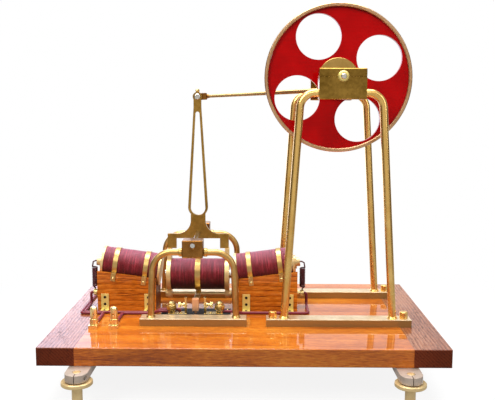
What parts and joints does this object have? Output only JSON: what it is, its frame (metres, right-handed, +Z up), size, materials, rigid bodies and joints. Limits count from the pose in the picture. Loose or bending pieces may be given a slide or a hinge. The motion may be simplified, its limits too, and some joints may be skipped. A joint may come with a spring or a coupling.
{
  "type": "reciprocating electric motor model",
  "caption": "Bench model of a rocking-coil electric motor: an armature between tilted fixed coils swings a slotted lever that turns a crank and flywheel, on a wooden board with levelling feet.",
  "frame": {"origin": "centre of the object's bounding box, at the table under the feet", "axes": "+X to the right seen from the front, with the flywheel at +X, +Y to the back, +Z up"},
  "size_m": [0.46, 0.3684, 0.458],
  "materials": {
    "brass": "polished",
    "steel": "polished",
    "board_wood": "french polished",
    "board_end_wood": "french polished",
    "cradle_wood": "varnished",
    "red_paint": "gloss enamel",
    "cotton_winding": "cotton covered copper wire, shellacked",
    "lead_cover": "cotton braid",
    "ebonite": "polished hard rubber",
    "copper": "bright copper"
  },
  "bodies": {
    "base": {"arch_blocks": "brass", "arch_plates": "brass", "arch_tubes_back": "brass", "arch_tubes_front": "brass", "arch_unions": "brass", "base_end_left": "board_end_wood", "base_end_right": "board_end_wood", "base_panel": "board_wood", "bearing_bosses": "brass", "binding_posts": "brass", "bobbin_left": "brass", "bobbin_right": "brass", "contact_posts": "brass", "cradle_brackets": "brass", "cradle_left": "cradle_wood", "cradle_right": "cradle_wood", "end_terminals": "brass", "foot_clamps": "brass", "leads": "lead_cover", "levelling_feet": "brass", "pigtails": "lead_cover", "plate_knobs": "brass", "straps_left": "brass", "straps_right": "brass", "switch_base": "ebonite", "switch_terminals": "brass", "wheel_bearings": "brass", "wheel_caps": "brass", "wheel_legs_back": "brass", "wheel_legs_front": "brass", "wheel_plates": "brass", "winding_left": "cotton_winding", "winding_right": "cotton_winding"},
    "rocker": {"rocker_lever": "brass", "rocker_shaft": "steel", "armature_cheeks": "brass", "armature_core": "steel", "armature_winding": "cotton_winding", "armature_strap": "brass", "tie_rod": "brass", "contact_arm": "brass", "contact_finger": "copper", "top_pin": "steel"},
    "connecting_rod": {"connecting_rod": "brass", "oil_cup": "brass", "crank_pin": "steel"},
    "flywheel": {"flywheel_web": "red_paint", "flywheel_rim": "brass", "flywheel_hub": "brass", "crankshaft": "steel"}
  },
  "joints": [
    {"name": "flywheel_spin", "type": "hinge", "parent": "base", "child": "flywheel", "pos_m": [0.114, 0, 0.367], "axis": [0, 1, 0], "continuous": true},
    {"name": "rocker_swing", "type": "hinge", "parent": "base", "child": "rocker", "pos_m": [-0.063, 0.026, 0.166], "axis": [0, 1, 0], "range_deg": [-4.17, 4.17]},
    {"name": "rod_swing", "type": "hinge", "parent": "rocker", "child": "connecting_rod", "pos_m": [-0.063, 0.033, 0.3445], "axis": [0, 1, 0], "range_deg": [-4.2, 4.2]}
  ],
  "couplings": [
    {"joint": "rod_swing", "follows": "rocker_swing", "ratio": -1}
  ]
}
